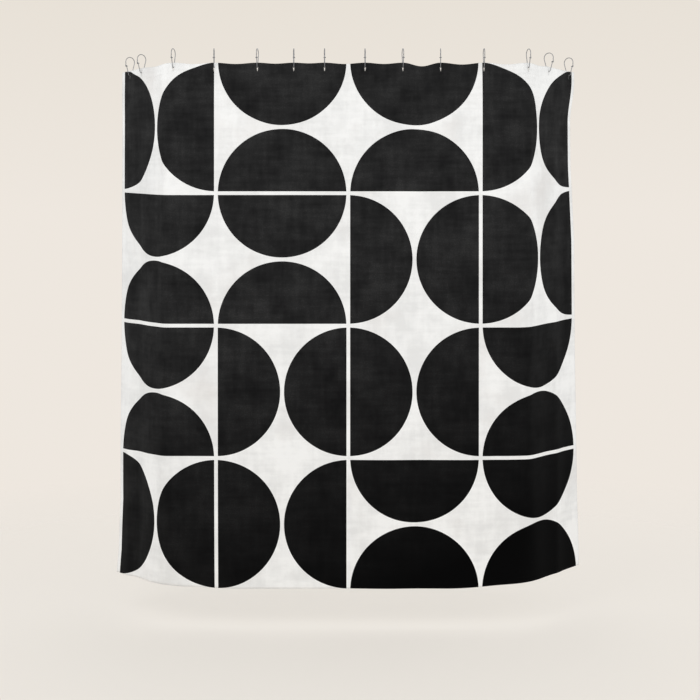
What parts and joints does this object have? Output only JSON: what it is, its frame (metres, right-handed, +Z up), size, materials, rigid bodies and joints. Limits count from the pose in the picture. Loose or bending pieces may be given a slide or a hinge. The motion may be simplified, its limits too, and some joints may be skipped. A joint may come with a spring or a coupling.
{
  "type": "shower curtain",
  "caption": "Hanging fabric bath curtain with a two-tone half-disc print, folded hems and stitched buttonholes, on pear-shaped wire hooks that slide along a rod.",
  "frame": {"origin": "on the centre line of the rod that the hooks hang on, at the middle of the curtain's width", "axes": "+X along the rod to the right as seen from the room, -Y to the room, +Z up"},
  "size_m": [1.7006, 0.2649, 1.9315],
  "materials": {
    "printed_cloth": "matte woven polyester, black half-disc print on off-white",
    "hem_cloth": "matte woven polyester, unprinted off-white reverse",
    "stiffener": "matte non-woven interlining",
    "thread": "soft spun polyester thread",
    "hook_wire": "polished steel wire"
  },
  "bodies": {
    "curtain": {"curtain_panel": "printed_cloth", "header_stiffener": "stiffener", "header_hem": "hem_cloth", "bottom_hem": "hem_cloth", "left_hem": "hem_cloth", "right_hem": "hem_cloth", "header_seam": "thread", "bottom_seam": "thread", "left_seam": "thread", "right_seam": "thread", "buttonhole_01": "thread"},
    "buttonhole_02_place": {"buttonhole_02": "thread"},
    "buttonhole_03_place": {"buttonhole_03": "thread"},
    "buttonhole_04_place": {"buttonhole_04": "thread"},
    "buttonhole_05_place": {"buttonhole_05": "thread"},
    "buttonhole_06_place": {"buttonhole_06": "thread"},
    "buttonhole_07_place": {"buttonhole_07": "thread"},
    "buttonhole_08_place": {"buttonhole_08": "thread"},
    "buttonhole_09_place": {"buttonhole_09": "thread"},
    "buttonhole_10_place": {"buttonhole_10": "thread"},
    "buttonhole_11_place": {"buttonhole_11": "thread"},
    "buttonhole_12_place": {"buttonhole_12": "thread"},
    "buttonhole_13_place": {"buttonhole_13": "thread"},
    "buttonhole_14_place": {"buttonhole_14": "thread"},
    "hook_01": {"hook_01": "hook_wire"},
    "hook_02": {"hook_02": "hook_wire"},
    "hook_03": {"hook_03": "hook_wire"},
    "hook_04": {"hook_04": "hook_wire"},
    "hook_05": {"hook_05": "hook_wire"},
    "hook_06": {"hook_06": "hook_wire"},
    "hook_07": {"hook_07": "hook_wire"},
    "hook_08": {"hook_08": "hook_wire"},
    "hook_09": {"hook_09": "hook_wire"},
    "hook_10": {"hook_10": "hook_wire"},
    "hook_11": {"hook_11": "hook_wire"},
    "hook_12": {"hook_12": "hook_wire"},
    "hook_13": {"hook_13": "hook_wire"},
    "hook_14": {"hook_14": "hook_wire"}
  },
  "joints": [
    {"name": "draw_along_rod", "type": "slide", "parent": "curtain", "child": "buttonhole_14_place", "axis": [-1, 0, 0], "range_m": [0, 1.1443], "deforming": ["curtain_panel", "header_stiffener", "header_hem", "bottom_hem", "left_hem", "right_hem", "header_seam", "bottom_seam", "left_seam", "right_seam"]},
    {"name": "buttonhole_13_slide", "type": "slide", "parent": "curtain", "child": "buttonhole_13_place", "axis": [-1, 0, 0], "range_m": [0, 1.0807]},
    {"name": "buttonhole_12_slide", "type": "slide", "parent": "curtain", "child": "buttonhole_12_place", "axis": [-1, 0, 0], "range_m": [0, 1.0206]},
    {"name": "buttonhole_11_slide", "type": "slide", "parent": "curtain", "child": "buttonhole_11_place", "axis": [-1, 0, 0], "range_m": [0, 0.9086]},
    {"name": "buttonhole_10_slide", "type": "slide", "parent": "curtain", "child": "buttonhole_10_place", "axis": [-1, 0, 0], "range_m": [0, 0.8001]},
    {"name": "buttonhole_09_slide", "type": "slide", "parent": "curtain", "child": "buttonhole_09_place", "axis": [-1, 0, 0], "range_m": [0, 0.7056]},
    {"name": "buttonhole_08_slide", "type": "slide", "parent": "curtain", "child": "buttonhole_08_place", "axis": [-1, 0, 0], "range_m": [0, 0.6111]},
    {"name": "buttonhole_07_slide", "type": "slide", "parent": "curtain", "child": "buttonhole_07_place", "axis": [-1, 0, 0], "range_m": [0, 0.5096]},
    {"name": "buttonhole_06_slide", "type": "slide", "parent": "curtain", "child": "buttonhole_06_place", "axis": [-1, 0, 0], "range_m": [0, 0.4326]},
    {"name": "buttonhole_05_slide", "type": "slide", "parent": "curtain", "child": "buttonhole_05_place", "axis": [-1, 0, 0], "range_m": [0, 0.3416]},
    {"name": "buttonhole_04_slide", "type": "slide", "parent": "curtain", "child": "buttonhole_04_place", "axis": [-1, 0, 0], "range_m": [0, 0.2331]},
    {"name": "buttonhole_03_slide", "type": "slide", "parent": "curtain", "child": "buttonhole_03_place", "axis": [-1, 0, 0], "range_m": [0, 0.1309]},
    {"name": "buttonhole_02_slide", "type": "slide", "parent": "curtain", "child": "buttonhole_02_place", "axis": [-1, 0, 0], "range_m": [0, 0.0372]},
    {"name": "hook_01_swing", "type": "hinge", "parent": "curtain", "child": "hook_01", "pos_m": [-0.81266, 0.19725, -0.0534], "axis": [0.6293, -0.7771, 0], "range_deg": [-12, 12]},
    {"name": "hook_02_swing", "type": "hinge", "parent": "buttonhole_02_place", "child": "hook_02", "pos_m": [-0.7598, 0.13197, -0.0534], "axis": [0.6293, -0.7771, 0], "range_deg": [-12, 12]},
    {"name": "hook_03_swing", "type": "hinge", "parent": "buttonhole_03_place", "child": "hook_03", "pos_m": [-0.62592, 0.00142, -0.0534], "axis": [0.9842, -0.1768, 0], "range_deg": [-12, 12]},
    {"name": "hook_04_swing", "type": "hinge", "parent": "buttonhole_04_place", "child": "hook_04", "pos_m": [-0.48, 0, -0.0534], "axis": [1, 0, 0], "range_deg": [-12, 12]},
    {"name": "hook_05_swing", "type": "hinge", "parent": "buttonhole_05_place", "child": "hook_05", "pos_m": [-0.325, 0, -0.0534], "axis": [1, 0, 0], "range_deg": [-12, 12]},
    {"name": "hook_06_swing", "type": "hinge", "parent": "buttonhole_06_place", "child": "hook_06", "pos_m": [-0.195, 0, -0.0534], "axis": [1, 0, 0], "range_deg": [-12, 12]},
    {"name": "hook_07_swing", "type": "hinge", "parent": "buttonhole_07_place", "child": "hook_07", "pos_m": [-0.085, 0, -0.0534], "axis": [1, 0, 0], "range_deg": [-12, 12]},
    {"name": "hook_08_swing", "type": "hinge", "parent": "buttonhole_08_place", "child": "hook_08", "pos_m": [0.06, 0, -0.0534], "axis": [1, 0, 0], "range_deg": [-12, 12]},
    {"name": "hook_09_swing", "type": "hinge", "parent": "buttonhole_09_place", "child": "hook_09", "pos_m": [0.195, 0, -0.0534], "axis": [1, 0, 0], "range_deg": [-12, 12]},
    {"name": "hook_10_swing", "type": "hinge", "parent": "buttonhole_10_place", "child": "hook_10", "pos_m": [0.33, 0, -0.0534], "axis": [1, 0, 0], "range_deg": [-12, 12]},
    {"name": "hook_11_swing", "type": "hinge", "parent": "buttonhole_11_place", "child": "hook_11", "pos_m": [0.485, 0, -0.0534], "axis": [1, 0, 0], "range_deg": [-12, 12]},
    {"name": "hook_12_swing", "type": "hinge", "parent": "buttonhole_12_place", "child": "hook_12", "pos_m": [0.64505, 0.0071, -0.0534], "axis": [0.9211, 0.3894, 0], "range_deg": [-12, 12]},
    {"name": "hook_13_swing", "type": "hinge", "parent": "buttonhole_13_place", "child": "hook_13", "pos_m": [0.73085, 0.09622, -0.0534], "axis": [0.6293, 0.7771, 0], "range_deg": [-12, 12]},
    {"name": "hook_14_swing", "type": "hinge", "parent": "buttonhole_14_place", "child": "hook_14", "pos_m": [0.8221, 0.20891, -0.0534], "axis": [0.6293, 0.7771, 0], "range_deg": [-12, 12]}
  ],
  "couplings": [
    {"joint": "buttonhole_13_slide", "follows": "draw_along_rod", "ratio": 0.94418},
    {"joint": "buttonhole_12_slide", "follows": "draw_along_rod", "ratio": 0.8917},
    {"joint": "buttonhole_11_slide", "follows": "draw_along_rod", "ratio": 0.79379},
    {"joint": "buttonhole_10_slide", "follows": "draw_along_rod", "ratio": 0.69898},
    {"joint": "buttonhole_09_slide", "follows": "draw_along_rod", "ratio": 0.6164},
    {"joint": "buttonhole_08_slide", "follows": "draw_along_rod", "ratio": 0.53382},
    {"joint": "buttonhole_07_slide", "follows": "draw_along_rod", "ratio": 0.44512},
    {"joint": "buttonhole_06_slide", "follows": "draw_along_rod", "ratio": 0.37783},
    {"joint": "buttonhole_05_slide", "follows": "draw_along_rod", "ratio": 0.29831},
    {"joint": "buttonhole_04_slide", "follows": "draw_along_rod", "ratio": 0.20349},
    {"joint": "buttonhole_03_slide", "follows": "draw_along_rod", "ratio": 0.11423},
    {"joint": "buttonhole_02_slide", "follows": "draw_along_rod", "ratio": 0.032337}
  ]
}
